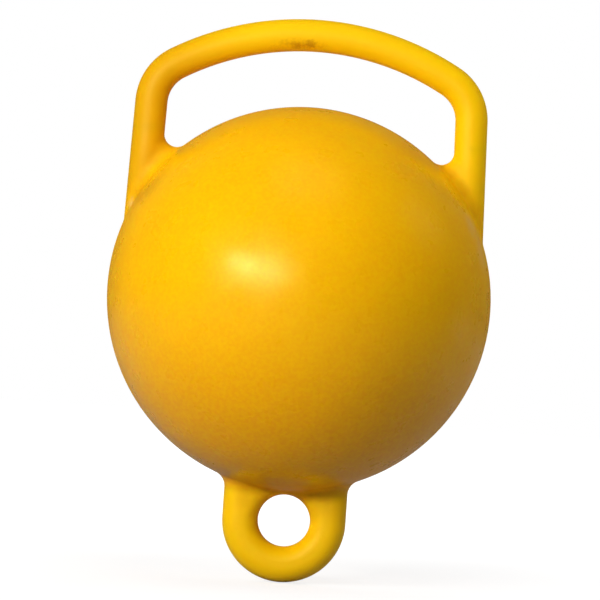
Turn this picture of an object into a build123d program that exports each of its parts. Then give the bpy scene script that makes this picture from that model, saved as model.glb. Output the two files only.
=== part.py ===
from build123d import *

import os
from math import cos, radians, sin, sqrt

# Round mooring buoy: a foam-filled polyethylene ball with a moulded-in carrying handle and a
# mooring eye below. +Z runs up the buoy's axis, the handle and the eye lie in the XZ plane, and
# the front faces -Y. The origin is the ball's centre, where the water stands on a loaded buoy.
# Lengths are in millimetres and angles in degrees.

# Ball
ball_diameter = 250.0

# Carrying handle: one round bar bent into two posts and a crowned grip
bar_diameter = 20.5
hand_gap = 36.75
post_inset = 16.9
post_lean = 1.6
crown_bend = 180.0
corner_bend = 30.5
post_blend = 8.5
handle_seam_share = 0.84

# Mooring eye: a rounded lug with a round hole, close under the ball
eye_hole_diameter = 34.0
eye_web = 3.0
eye_rim = 23.0
eye_thickness = 24.0
eye_edge_round = 11.0
eye_mouth_round = 10.0
neck_blend = 10.0
round_limit_share = 0.49
eye_seam_share = 0.4

# Filler plug: closes the hole that the foam went in by, low on the back
plug_diameter = 34.0
plug_seat_depth = 4.0
plug_proud = 0.6
plug_edge_round = 0.8
plug_latitude = -38.0
stem_diameter = 24.0
stem_length = 12.0
stem_chamfer = 1.5
plug_clearance = 0.3

ball_radius = ball_diameter / 2
bar_radius = bar_diameter / 2
crown_height = ball_radius + hand_gap + bar_radius
handle_seam = handle_seam_share * ball_radius
eye_hole_radius = eye_hole_diameter / 2
eye_outer_radius = eye_hole_radius + eye_rim
eye_depth = ball_radius + eye_web + eye_hole_radius
eye_root = ball_radius - eye_outer_radius
round_limit = round_limit_share * min(eye_rim, eye_thickness)
eye_seam = ball_radius + eye_seam_share * eye_web
plug_radius = plug_diameter / 2
stem_radius = stem_diameter / 2


def handle_path():
    """The bar's centreline in the XZ plane: post, corner, crown, corner, post."""
    rise = Vector(-sin(radians(post_lean)), 0, cos(radians(post_lean)))
    inward = Vector(-rise.Z, 0, rise.X)
    foot = Vector(ball_radius - post_inset, 0, 0)
    crown_centre = Vector(0, 0, crown_height - crown_bend)
    # The corner's centre lies one corner bend inside the post and one inside the crown
    start = foot + inward * corner_bend - crown_centre
    reach = crown_bend - corner_bend
    along = sqrt(start.dot(rise) ** 2 - start.dot(start) + reach**2) - start.dot(rise)
    post_top = foot + rise * along
    crown_end = crown_centre + (start + rise * along) * (crown_bend / reach)
    with BuildLine() as path:
        post = Line(foot, post_top)
        corner = TangentArc(post_top, crown_end, tangent=rise)
        ThreePointArc(crown_end, (0, 0, crown_height), (-crown_end.X, 0, crown_end.Z))
        mirror(corner, about=Plane.YZ)
        mirror(post, about=Plane.YZ)
    return path.line


# The lug that makes the eye, rounded before it meets the ball
with BuildPart() as lug:
    with BuildSketch(Plane.XZ.offset(-eye_thickness / 2)):
        with Locations((0, -eye_depth)):
            Circle(eye_outer_radius)
            Rectangle(2 * eye_outer_radius, eye_depth - eye_root, align=(Align.CENTER, Align.MIN))
            Circle(eye_hole_radius, mode=Mode.SUBTRACT)
    extrude(amount=eye_thickness)
    hole = lug.faces().filter_by(GeomType.CYLINDER).sort_by(SortBy.RADIUS)[0]
    fillet(hole.edges().filter_by(GeomType.CIRCLE), min(eye_mouth_round, round_limit))
    flats = lug.faces().filter_by(Axis.Y)
    outlines = ShapeList(flat.outer_wire() for flat in flats).edges().sort_by(Axis.Z)
    fillet(outlines[:-len(flats)], min(eye_edge_round, round_limit))

# Ball, handle and eye come out of the mould as one, with every meeting blended. The sphere's
# poles and its seam are turned to the sides and the back, clear of the blends.
with BuildPart() as moulding:
    Sphere(ball_radius, rotation=(90, 90, 0))
    centreline = handle_path()
    with BuildSketch(Plane(origin=centreline @ 0, z_dir=centreline % 0)):
        Circle(bar_radius)
    sweep(path=centreline)
    fillet(moulding.edges(Select.NEW), post_blend)
    add(lug.part)
    fillet(moulding.edges(Select.NEW), neck_blend)

# Carrying handle: the bar above the seams on its two posts
with BuildPart() as above_seam:
    add(moulding.part)
    split(bisect_by=Plane.XY.offset(handle_seam), keep=Keep.TOP)
with BuildPart() as carry_handle:
    add(above_seam.solids().sort_by(Axis.Z)[-1])

# Mooring eye: the ring below the ball
with BuildPart() as mooring_eye:
    add(moulding.part)
    split(bisect_by=Plane.XY.offset(-eye_seam), keep=Keep.BOTTOM)

# Filler plug: its head follows the ball's curve, and its stem fills the hole
outward = Vector(0, cos(radians(plug_latitude)), sin(radians(plug_latitude)))
plug_seat = Plane(origin=outward * (ball_radius - plug_seat_depth), x_dir=(1, 0, 0), z_dir=outward)
plug_axis = Axis(plug_seat.origin, outward)
with BuildPart() as filler_plug:
    with BuildSketch(plug_seat):
        Circle(plug_radius)
    extrude(amount=plug_seat_depth + plug_diameter)
    Sphere(ball_radius + plug_proud, mode=Mode.INTERSECT)
    fillet(filler_plug.edges().sort_by(plug_axis)[-1], plug_edge_round)
    with BuildSketch(plug_seat):
        Circle(stem_radius)
    extrude(amount=-stem_length)
    chamfer(filler_plug.edges().sort_by(plug_axis)[0], stem_chamfer)

# Float body: the ball with the stubs of the posts and the neck of the eye
with BuildPart() as float_body:
    add(moulding.part)
    add(carry_handle.part, mode=Mode.SUBTRACT)
    add(mooring_eye.part, mode=Mode.SUBTRACT)
    with BuildSketch(plug_seat):
        Circle(plug_radius + plug_clearance)
    extrude(amount=plug_seat_depth + plug_diameter, mode=Mode.SUBTRACT)
    with BuildSketch(plug_seat):
        Circle(stem_radius + plug_clearance)
    extrude(amount=-stem_length - plug_clearance, mode=Mode.SUBTRACT)

os.makedirs("parts", exist_ok=True)

float_body.part.label = "float_body"
export_step(float_body.part, "parts/float_body.step")

carry_handle.part.label = "carry_handle"
export_step(carry_handle.part, "parts/carry_handle.step")

mooring_eye.part.label = "mooring_eye"
export_step(mooring_eye.part, "parts/mooring_eye.step")

filler_plug.part.label = "filler_plug"
export_step(filler_plug.part, "parts/filler_plug.step")
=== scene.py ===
"""Looks of a round mooring buoy: satin yellow polyethylene, its parting line, marks and wear.

Metres. +Z runs up the buoy's axis, X along the handle and the eye, and -Y faces the camera. The
origin is the ball's centre.
"""
import math

import bmesh
import bpy
from mathutils import Matrix, Quaternion, Vector


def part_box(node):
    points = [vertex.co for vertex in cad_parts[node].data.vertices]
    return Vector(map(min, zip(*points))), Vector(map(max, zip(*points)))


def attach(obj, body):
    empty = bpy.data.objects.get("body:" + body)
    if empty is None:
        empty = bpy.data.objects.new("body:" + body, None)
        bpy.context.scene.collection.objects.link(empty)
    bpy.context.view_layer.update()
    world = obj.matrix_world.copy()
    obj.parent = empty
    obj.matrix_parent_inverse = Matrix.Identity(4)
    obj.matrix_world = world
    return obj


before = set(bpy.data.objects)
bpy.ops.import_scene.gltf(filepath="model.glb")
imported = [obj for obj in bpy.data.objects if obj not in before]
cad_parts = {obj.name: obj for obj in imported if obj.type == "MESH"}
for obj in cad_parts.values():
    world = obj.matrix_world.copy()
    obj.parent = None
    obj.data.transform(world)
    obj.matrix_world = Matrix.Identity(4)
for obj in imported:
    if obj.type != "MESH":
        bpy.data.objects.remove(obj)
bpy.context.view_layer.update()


# Sizes that the camera, the marks, the wear and the parting line follow
ball_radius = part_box("float_body")[1].y
handle_low, handle_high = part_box("carry_handle")
handle_seam = handle_low.z
bar_radius = handle_high.y
crown_middle = handle_high.z - bar_radius
post_foot = handle_high.x - bar_radius
eye_low, eye_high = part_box("mooring_eye")
eye_seam = eye_high.z
eye_radius = eye_high.x
eye_centre = Vector((0, 0, eye_low.z + eye_radius))

# The photograph: where the ball's centre is in it, how wide the ball is, and how far the buoy leans
PICTURE_PX = 600
BALL_PX = (298.8, 298.8)
BALL_WIDTH_PX = 383.0
LEAN = math.radians(3.87)

# A long lens, level with the ball's centre. The camera leans, so that the buoy stands upright.
LENS_MM = 200.0
SENSOR_MM = 36.0
CLIP_END = 20
metres_per_px = 2 * ball_radius / BALL_WIDTH_PX
camera_distance = metres_per_px * PICTURE_PX * LENS_MM / SENSOR_MM
RIGHT = Vector((math.cos(LEAN), 0, math.sin(LEAN)))
UP = Vector((-math.sin(LEAN), 0, math.cos(LEAN)))


def seen_at(x_px, y_px, depth):
    """The place that the photograph shows at that pixel, at a depth of y = depth."""
    nearness = 1 + depth / camera_distance
    across = (x_px - BALL_PX[0]) * metres_per_px * nearness
    above = (BALL_PX[1] - y_px) * metres_per_px * nearness
    return RIGHT * across + UP * above + Vector((0, depth, 0))


# Noise: how much detail it has, its middle value, and the stretches of its values that are
# carried to a full change
PLAIN, USUAL, FINE = 1.0, 2.0, 3.0
NOISE_MIDDLE = 0.5
NOISE_RANGE = (0.3, 0.7)
WOBBLE_RANGE = (0.25, 0.75)


class Graph:
    """A node tree, with short calls that add a node and wire it up."""

    def __init__(self, owner):
        owner.use_nodes = True
        self.tree = owner.node_tree
        self.tree.nodes.clear()
        self.place = self.add("ShaderNodeTexCoord").outputs["Object"]

    def add(self, kind, inputs=(), **settings):
        """A node of that kind, with each input wired to a socket or set to a value."""
        node = self.tree.nodes.new(kind)
        for key, value in settings.items():
            setattr(node, key, value)
        for key, value in dict(inputs).items():
            if isinstance(value, bpy.types.NodeSocket):
                self.tree.links.new(value, node.inputs[key])
            else:
                node.inputs[key].default_value = value
        return node

    def math(self, operation, *values):
        """One operation on numbers."""
        return self.add("ShaderNodeMath", enumerate(values), operation=operation).outputs[0]

    def vector(self, operation, *values):
        """One operation on vectors."""
        return self.add("ShaderNodeVectorMath", enumerate(values), operation=operation).outputs[0]

    def length(self, vector):
        """How long a vector is."""
        return self.add("ShaderNodeVectorMath", {0: vector}, operation="LENGTH").outputs["Value"]

    def noise(self, size, detail=USUAL, stretch=(1, 1, 1), seed=0.0):
        """Noise with features of about that size, longer along an axis with a small stretch."""
        place = self.vector("MULTIPLY", self.place, stretch)
        inputs = {"Vector": place, "W": seed, "Scale": 1 / size, "Detail": detail}
        return self.add("ShaderNodeTexNoise", inputs, noise_dimensions="4D").outputs["Fac"]

    def span(self, value, low, high, to_low=0.0, to_high=1.0):
        """Value carried smoothly from one range to another."""
        inputs = {"Value": value, "From Min": low, "From Max": high}
        inputs.update({"To Min": to_low, "To Max": to_high})
        node = self.add("ShaderNodeMapRange", inputs, interpolation_type="SMOOTHSTEP")
        return node.outputs["Result"]

    def fade(self, value, low, high):
        """1 up to the low value, falling to 0 at the high one."""
        return self.span(value, low, high, 1.0, 0.0)

    def blob(self, centre, radii, soft, ragged=0.0, grain=0.003):
        """1 inside an ellipsoid, falling to 0 at its edge, which noise makes ragged."""
        offset = self.vector("DIVIDE", self.vector("SUBTRACT", self.place, centre), radii)
        wobble = self.span(self.noise(grain), *WOBBLE_RANGE, -ragged, ragged)
        return self.fade(self.math("ADD", self.length(offset), wobble), 1 - soft, 1.0)

    def mix(self, share, first, second):
        """The first colour, going over to the second by share."""
        inputs = {"Factor": share, 6: first, 7: second}
        return self.add("ShaderNodeMix", inputs, data_type="RGBA").outputs[2]

    def tint(self, colour, second, area, strength):
        """A colour that goes over to a second one in an area, up to that strength."""
        return self.mix(self.math("MULTIPLY", area, strength), colour, second)

    def bump(self, height, distance, under=None):
        """A normal raised by height times distance, on top of another normal."""
        inputs = {"Height": height, "Distance": distance}
        if under is not None:
            inputs["Normal"] = under
        return self.add("ShaderNodeBump", inputs).outputs["Normal"]

    def finish(self, shader, inputs, output="ShaderNodeOutputMaterial"):
        """Wire a shader with these inputs to the tree's output."""
        self.add(output, {"Surface": self.add(shader, inputs).outputs[0]})


# How far the painted shade and the duller finish in the corners reach from a corner, in metres,
# and where lines and hands rub: shares of the eye's radius, and the radii of a soft ellipsoid
# under the grip
CREASE_REACH = 0.02
RUBBED_EYE_SHARES = (0.6, 0.8)
RUBBED_GRIP_RADII = (0.07, 0.02, bar_radius)
RUBBED_GRIP_SOFT = 0.8

# Scuffs: each line is where noise lies within a narrow band around its middle. Then come the size
# of a patch of lines, and the two directions that they run in.
SCUFF_BAND = 0.012
SCUFF_PATCH_SIZE = 0.03
SCUFF_PATCH_RANGE = (0.5, 0.65)
SCUFF_PATCH_SEED = 5
LEVEL_SCUFFS = {"size": 0.012, "stretch": (1, 1, 6), "seed": 1.0}
UPRIGHT_SCUFFS = {"size": 0.01, "stretch": (5, 1, 1), "seed": 2.0}


def crease(graph):
    """1 in the corners where the posts and the eye run into the ball, and 0 away from them."""
    off_ball = graph.math("SUBTRACT", graph.length(graph.place), ball_radius)
    from_post = graph.vector("SUBTRACT", graph.vector("ABSOLUTE", graph.place), (post_foot, 0, 0))
    beside_post = graph.length(graph.vector("MULTIPLY", from_post, (1, 1, 0)))
    off_post = graph.math("SUBTRACT", beside_post, bar_radius)
    from_eye = graph.vector("SUBTRACT", graph.place, eye_centre)
    off_eye = graph.math("SUBTRACT", graph.length(from_eye), eye_radius)
    off_limb = graph.math("MINIMUM", off_post, off_eye)
    return graph.fade(graph.math("ADD", graph.math("ABSOLUTE", off_ball), off_limb), 0.0, CREASE_REACH)


def rubbed(graph):
    """1 where lines and hands rub: the eye's hole and the grip's underside."""
    off_hole = graph.length(graph.vector("SUBTRACT", graph.place, eye_centre))
    at_hole = graph.fade(off_hole, *(share * eye_radius for share in RUBBED_EYE_SHARES))
    underside = (0, 0, crown_middle - bar_radius)
    at_grip = graph.blob(underside, RUBBED_GRIP_RADII, RUBBED_GRIP_SOFT)
    return graph.math("MAXIMUM", at_hole, at_grip)


def solid(graph):
    """0 on the ball, whose skin has foam behind it, and 1 on the solid handle and eye, whose finish
    is their own and whose colour carries painted light and shade."""
    return graph.span(graph.length(graph.place), ball_radius, ball_radius + bar_radius)


def scuffs(graph, size, stretch, seed):
    """1 along thin worn lines, gathered in patches and left out elsewhere."""
    off_line = graph.math("SUBTRACT", graph.noise(size, PLAIN, stretch, seed), NOISE_MIDDLE)
    line = graph.fade(graph.math("ABSOLUTE", off_line), 0.0, SCUFF_BAND)
    patch = graph.noise(SCUFF_PATCH_SIZE, USUAL, seed=seed + SCUFF_PATCH_SEED)
    return graph.math("MULTIPLY", line, graph.span(patch, *SCUFF_PATCH_RANGE))


YELLOW = (0.96, 0.465, 0.001, 1)
# Pale speckles and wear, and also the painted light on the handle and the eye
PALE_YELLOW = (0.99, 0.58, 0.001, 1)
# Deeper mottles, and also the painted shade on the underside
DEEP_YELLOW = (0.88, 0.36, 0.001, 1)
PLUG_YELLOW = (0.9, 0.43, 0.001, 1)
# Painted shade on the left post
SHADED_YELLOW = (0.72, 0.36, 0.001, 1)
# Grime, and also the painted shade in the corners and the painted shadow by the left post
GRIME_AND_SHADE = (0.45, 0.15, 0.003, 1)
# Chalky scuffs, and also the painted reflection at the ball's right edge
CHALK_AND_REFLECTION = (0.8, 0.55, 0.3, 1)

# Where the underside's painted shade fades out, and where the left post's painted shade gives way
# to the painted light on the rest of the handle and the eye: shares of the ball's radius up the
# buoy, and of the posts' distance from its axis
UNDERSIDE_SHARES = (-0.7, 0.1)
SHADED_POST_SHARES = (-1, -0.3)

# How large the patches of colour are, in metres, and how strongly each tint shows
MOTTLE_SIZE = 0.05
MOTTLE_RANGE = (0.35, 0.65)
MOTTLE_STRENGTH = 0.3
SPECKLE_SIZE = 0.0025
SPECKLE_STRENGTH = 0.42
# How strongly the painted light and shade show on the handle and the eye
LIMB_PAINTED_LIGHT = 0.85
# Patches of painted shade in the corners
CORNER_SHADE_SIZE = 0.01
CORNER_SHADE_STRENGTH = 0.2
WORN_STRENGTH = 0.12

# How soft and how ragged the edge of a mark is, and how fine its ragged edge, in metres
MARK_SOFT = 0.95
MARK_RAGGED = 0.2
MARK_GRAIN = 0.002

# Where the front of the grip lies, as a share of the bar's radius
CROWN_FRONT_SHARE = -0.9
crown_front = CROWN_FRONT_SHARE * bar_radius

# Marks in the photograph: the pixel at the middle of each, its depth, its radii along X, Y and Z,
# how strongly it shows, and its colour
MARKS = {
    "smudge under the crown": ((302, 45.5), crown_front, (0.02, 0.007, 0.0055), 0.45, GRIME_AND_SHADE),
    "darker right of the smudge": ((311, 44.5), crown_front, (0.006, 0.006, 0.0045), 0.6, GRIME_AND_SHADE),
    "darker left of the smudge": ((298, 47.0), crown_front, (0.009, 0.006, 0.0035), 0.55, GRIME_AND_SHADE),
    "faint end of the smudge": ((277, 49.5), crown_front, (0.009, 0.006, 0.0035), 0.3, GRIME_AND_SHADE),
    # Painted shadow of the left post, on the ball at its foot
    "painted shadow under the left post": ((140, 197), -0.02, (0.009, 0.03, 0.012), 0.35, GRIME_AND_SHADE),
    "painted shadow beside the left post": ((153, 188), -0.03, (0.012, 0.03, 0.012), 0.35, GRIME_AND_SHADE),
    "painted shadow further in": ((164, 176), -0.03, (0.011, 0.03, 0.011), 0.2, GRIME_AND_SHADE),
    "fleck at the upper right": ((430, 214.5), -0.061, (0.0012, 0.004, 0.0026), 0.35, GRIME_AND_SHADE),
    "pale scuff at the left edge": ((132, 205), -0.006, (0.0035, 0.012, 0.007), 0.35, CHALK_AND_REFLECTION),
    # Painted reflection: a pale grazing sheen along the ball's right edge
    "painted reflection at the right edge": ((468, 228), -0.033, (0.009, 0.014, 0.014), 0.24, CHALK_AND_REFLECTION),
    "painted reflection lower at the right": ((479, 258), -0.031, (0.008, 0.014, 0.022), 0.22, CHALK_AND_REFLECTION),
}


def skin_colour(graph, base, marks, worn, creased, limbs):
    """Mottled, speckled, and with painted shade that deepens the underside. Painted light makes the
    handle and the eye paler, with painted shade on the left post, and marks (among them painted
    shadow and painted reflection), patches of painted shade in the corners and pale scuffs lie over
    it all."""
    apart = graph.add("ShaderNodeSeparateXYZ", {0: graph.place}).outputs
    # Painted shade, darker towards the underside
    under = graph.fade(apart["Z"], *(share * ball_radius for share in UNDERSIDE_SHARES))
    colour = graph.mix(under, base, DEEP_YELLOW)
    mottle = graph.span(graph.noise(MOTTLE_SIZE, FINE), *MOTTLE_RANGE, 0.0, MOTTLE_STRENGTH)
    colour = graph.mix(mottle, colour, DEEP_YELLOW)
    speckle = graph.span(graph.noise(SPECKLE_SIZE), *NOISE_RANGE, 0.0, SPECKLE_STRENGTH)
    colour = graph.mix(speckle, colour, PALE_YELLOW)
    # Painted light and shade on the handle and the eye: shaded on the left post, paler elsewhere
    painted_light_share = graph.span(apart["X"], *(share * post_foot for share in SHADED_POST_SHARES))
    colour = graph.tint(colour, graph.mix(painted_light_share, SHADED_YELLOW, PALE_YELLOW), limbs, LIMB_PAINTED_LIGHT)
    for middle_px, depth, radii, strength, mark_colour in marks:
        mark = graph.blob(seen_at(*middle_px, depth), radii, MARK_SOFT, MARK_RAGGED, MARK_GRAIN)
        colour = graph.tint(colour, mark_colour, mark, strength)
    # Painted shade in the corners where the posts and the eye meet the ball, in patches
    corner_shade = graph.span(graph.noise(CORNER_SHADE_SIZE, FINE), *NOISE_RANGE, 0.0, CORNER_SHADE_STRENGTH)
    colour = graph.tint(colour, GRIME_AND_SHADE, creased, corner_shade)
    return graph.tint(colour, PALE_YELLOW, worn, WORN_STRENGTH)


# Roughness from the glossiest patches of skin to the dullest, the size of a patch in metres, and
# what is added in each area
ROUGHNESS = (0.26, 0.34)
SHEEN_SIZE = 0.015
RUBBED_ROUGHNESS = -0.06
WORN_ROUGHNESS = 0.08
CREASE_ROUGHNESS = 0.2
LIMB_ROUGHNESS = 0.2


def skin_roughness(graph, worn, creased, limbs):
    """Satin in patches, glossier where it is rubbed, and duller in scuffs and corners and on the
    handle and the eye."""
    roughness = graph.span(graph.noise(SHEEN_SIZE, FINE), *NOISE_RANGE, *ROUGHNESS)
    changes = (
        (rubbed(graph), RUBBED_ROUGHNESS),
        (worn, WORN_ROUGHNESS),
        (creased, CREASE_ROUGHNESS),
        (limbs, LIMB_ROUGHNESS),
    )
    for area, change in changes:
        roughness = graph.math("ADD", roughness, graph.math("MULTIPLY", area, change))
    return roughness


# The skin's relief: slow waves, a fine peel, and scuffs cut into it
WAVE_SIZE = 0.04
WAVE_HEIGHT = 0.0008
PEEL_SIZE = 0.0016
PEEL_HEIGHT = 0.00003
SCUFF_HEIGHT = -0.000005


def skin_relief(graph, worn):
    """A skin that is a little wavy and fine-grained, and scored by its scuffs."""
    waves = graph.bump(graph.noise(WAVE_SIZE, PLAIN), WAVE_HEIGHT)
    peel = graph.bump(graph.noise(PEEL_SIZE), PEEL_HEIGHT, under=waves)
    return graph.bump(worn, SCUFF_HEIGHT, under=peel)


# Yellow gloss, and light that spreads a little under the skin
PLASTIC = {
    "Specular IOR Level": 0.42,
    "Specular Tint": (1.0, 0.97, 0.36, 1),
    "Subsurface Weight": 0.25,
    "Subsurface Radius": (1.0, 0.5, 0.1),
    "Subsurface Scale": 0.008,
}


def polyethylene(name, base, marks=()):
    """Satin moulded polyethylene with its wear and marks, and light and shade painted into its colour."""
    material = bpy.data.materials.new(name)
    graph = Graph(material)
    worn = graph.math("MAXIMUM", scuffs(graph, **LEVEL_SCUFFS), scuffs(graph, **UPRIGHT_SCUFFS))
    creased = crease(graph)
    limbs = solid(graph)
    graph.finish("ShaderNodeBsdfPrincipled", {
        "Base Color": skin_colour(graph, base, marks, worn, creased, limbs),
        "Roughness": skin_roughness(graph, worn, creased, limbs),
        "Normal": skin_relief(graph, worn),
        **PLASTIC})
    return material


SHELL_NODES = ("float_body", "carry_handle", "mooring_eye")
LINE_RADIUS = 0.0008
LINE_SUNK = 0.0005
LINE_SIDES = 10

# Tolerances of the section that the line follows, and the share of the eye's radius within which
# all that is cut belongs to its hole
ON_PLANE = 1e-6
ON_SEAM = 1e-5
SAME_POINT = 3e-4
HOLE_SHARE = 0.7


def left_out(edge):
    """True for an edge of the section on a seam between nodes or in the eye's hole."""
    off_seams = [max(abs(vert.co.z - seam) for vert in edge.verts) for seam in (handle_seam, eye_seam)]
    in_hole = (edge.verts[0].co - eye_centre).length < HOLE_SHARE * eye_radius
    return in_hole or min(off_seams) < ON_SEAM


def parting_section():
    """The shell's outline in the plane of the handle, where the mould's halves met: its edges,
    with each point's outward direction."""
    shell = bmesh.new()
    for name in SHELL_NODES:
        shell.from_mesh(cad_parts[name].data)
    whole = shell.verts[:] + shell.edges[:] + shell.faces[:]
    cut = bmesh.ops.bisect_plane(shell, geom=whole, dist=ON_PLANE, plane_no=(0, 1, 0))["geom_cut"]
    shell.normal_update()
    section = bmesh.new()
    outward = section.verts.layers.float_vector.new("outward")
    copies = {}
    for edge in cut:
        if not isinstance(edge, bmesh.types.BMEdge) or left_out(edge):
            continue
        for vert in edge.verts:
            if vert not in copies:
                copies[vert] = section.verts.new(vert.co)
                copies[vert][outward] = vert.normal
        section.edges.new([copies[vert] for vert in edge.verts])
    shell.free()
    bmesh.ops.remove_doubles(section, verts=section.verts[:], dist=SAME_POINT)
    return section, outward


def ridge_along(section, outward):
    """A thin round tube along the section's edges, sunk into the shell by most of its width."""
    ridge = bmesh.new()
    turns = [2 * math.pi * side / LINE_SIDES for side in range(LINE_SIDES)]
    rings = {}
    for vert in section.verts:
        out = (vert[outward] * Vector((1, 0, 1))).normalized()
        middle = vert.co - out * LINE_SUNK
        rims = [out * math.cos(turn) + Vector((0, math.sin(turn), 0)) for turn in turns]
        rings[vert] = [ridge.verts.new(middle + rim * LINE_RADIUS) for rim in rims]
    for edge in section.edges:
        first, second = (rings[vert] for vert in edge.verts)
        for side in range(LINE_SIDES):
            after = (side + 1) % LINE_SIDES
            ridge.faces.new((first[side], first[after], second[after], second[side])).smooth = True
    bmesh.ops.recalc_face_normals(ridge, faces=ridge.faces[:])
    return ridge


def parting_line(material):
    """A low rounded ridge all round the buoy, where the halves of its mould met."""
    section, outward = parting_section()
    ridge = ridge_along(section, outward)
    mesh = bpy.data.meshes.new("parting_line")
    ridge.to_mesh(mesh)
    ridge.free()
    section.free()
    mesh.materials.append(material)
    line = bpy.data.objects.new("parting_line", mesh)
    bpy.context.scene.collection.objects.link(line)
    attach(line, "root")


# Each lamp's name, azimuth and elevation in degrees, distance, width and height in metres, power in
# watts, tilt in degrees, and whether it leaves a highlight
LAMPS = (
    ("key", -26.3, 15.5, 2.0, (1.1, 0.12), 25, 3, True),
    ("left", -46, 20, 2.0, (0.5, 0.5), 14.3, 0, False),
    ("right", 85, 36, 0.6, (0.2, 0.2), 0.65, 0, False),
    ("top", 0, 70, 1.0, (0.5, 0.5), 1.8, 0, False),
    ("low_left", -115, -8, 0.6, (0.15, 0.15), 0.28, 0, False),
    ("low_right", 105, -8, 0.6, (0.15, 0.15), 0.36, 0, False),
    ("back_left", -150, 30, 2.2, (1.5, 1.5), 12, 0, False),
    ("back_right", 150, 30, 2.2, (1.5, 1.5), 14, 0, False),
)


def light(name, azimuth, elevation, distance, size, power, tilt, glossy):
    """A soft rectangular lamp that faces the ball's centre. Azimuth 0 is straight from the front,
    and more is further to the right. A tilted lamp is lower on its right."""
    data = bpy.data.lights.new(name, "AREA")
    data.shape = "RECTANGLE"
    data.size, data.size_y = size
    data.energy = power
    lamp = bpy.data.objects.new(name, data)
    bpy.context.scene.collection.objects.link(lamp)
    turn, rise = math.radians(azimuth), math.radians(elevation)
    outward = Vector((math.sin(turn) * math.cos(rise), -math.cos(turn) * math.cos(rise), math.sin(rise)))
    lamp.location = outward * distance
    facing = outward.to_track_quat("Z", "Y")
    lamp.rotation_euler = (facing @ Quaternion((0, 0, 1), math.radians(-tilt))).to_euler()
    lamp.visible_glossy = glossy


WHITE = (1, 1, 1, 1)
WORLD_LIGHT = 0.06
BACKDROP_IN_GLOSS = 0.02


def seen_backdrop(graph):
    """How white the backdrop is to a ray: 1 to the camera and through glass, less in gloss."""
    path = graph.add("ShaderNodeLightPath").outputs
    direct = graph.math("MAXIMUM", path["Is Camera Ray"], path["Is Transmission Ray"])
    return graph.math("MAXIMUM", direct, graph.math("MULTIPLY", path["Is Glossy Ray"], BACKDROP_IN_GLOSS))


def surroundings():
    """A white backdrop that lights the buoy only faintly."""
    world = bpy.data.worlds.new("world")
    graph = Graph(world)
    strength = graph.math("MAXIMUM", seen_backdrop(graph), WORLD_LIGHT)
    backdrop = {"Color": WHITE, "Strength": strength}
    graph.finish("ShaderNodeBackground", backdrop, "ShaderNodeOutputWorld")
    bpy.context.scene.world = world


FLOOR_RADIUS = 3.0
FLOOR_SEGMENTS = 96
FLOOR_GAP = 0.0005
FLOOR_GREY = (0.32, 0.32, 0.32, 1)
FLOOR_ROUGHNESS = 0.9

# How white the camera sees the floor, under the buoy and far from it, and the shares of the ball's
# radius where the change starts and ends
FLOOR_GLOW = (0.75, 1.0)
FLOOR_GLOW_SHARES = (1, 6)


def pale_floor():
    """The floor's material, which the camera sees as nearly as white as the backdrop."""
    material = bpy.data.materials.new("pale_floor")
    graph = Graph(material)
    reach = [share * ball_radius for share in FLOOR_GLOW_SHARES]
    glow = graph.span(graph.length(graph.place), *reach, *FLOOR_GLOW)
    graph.finish("ShaderNodeBsdfPrincipled", {
        "Base Color": FLOOR_GREY,
        "Roughness": FLOOR_ROUGHNESS,
        "Specular IOR Level": 0.0,
        "Emission Color": WHITE,
        "Emission Strength": graph.math("MULTIPLY", seen_backdrop(graph), glow)})
    return material


def floor():
    """A plain pale floor just under the eye. The camera sees it a little less white near the buoy,
    where the shadow falls."""
    mesh = bpy.data.meshes.new("floor")
    shape = bmesh.new()
    bmesh.ops.create_circle(shape, cap_ends=True, segments=FLOOR_SEGMENTS, radius=FLOOR_RADIUS)
    shape.to_mesh(mesh)
    shape.free()
    mesh.materials.append(pale_floor())
    ground = bpy.data.objects.new("floor", mesh)
    ground.location.z = eye_low.z - FLOOR_GAP
    bpy.context.scene.collection.objects.link(ground)


def camera():
    """The photograph's view: level, from the front, with the buoy leaning a little to the right."""
    data = bpy.data.cameras.new("camera")
    data.lens = LENS_MM
    data.sensor_width = SENSOR_MM
    data.clip_end = CLIP_END
    viewer = bpy.data.objects.new("camera", data)
    place = seen_at(PICTURE_PX / 2, PICTURE_PX / 2, 0) - Vector((0, camera_distance, 0))
    turn = Matrix((RIGHT, UP, (0, -1, 0))).transposed().to_4x4()
    viewer.matrix_world = Matrix.Translation(place) @ turn
    bpy.context.scene.collection.objects.link(viewer)
    bpy.context.scene.camera = viewer


def dress():
    """Materials for the CAD nodes, and the parting line on them."""
    shell = polyethylene("yellow_polyethylene", YELLOW, MARKS.values())
    plug = polyethylene("plug_polyethylene", PLUG_YELLOW)
    for name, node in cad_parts.items():
        node.data.materials.clear()
        node.data.materials.append(shell if name in SHELL_NODES else plug)
    parting_line(shell)


dress()
floor()
surroundings()
for lamp in LAMPS:
    light(*lamp)
camera()
bpy.context.scene.view_settings.view_transform = "Standard"
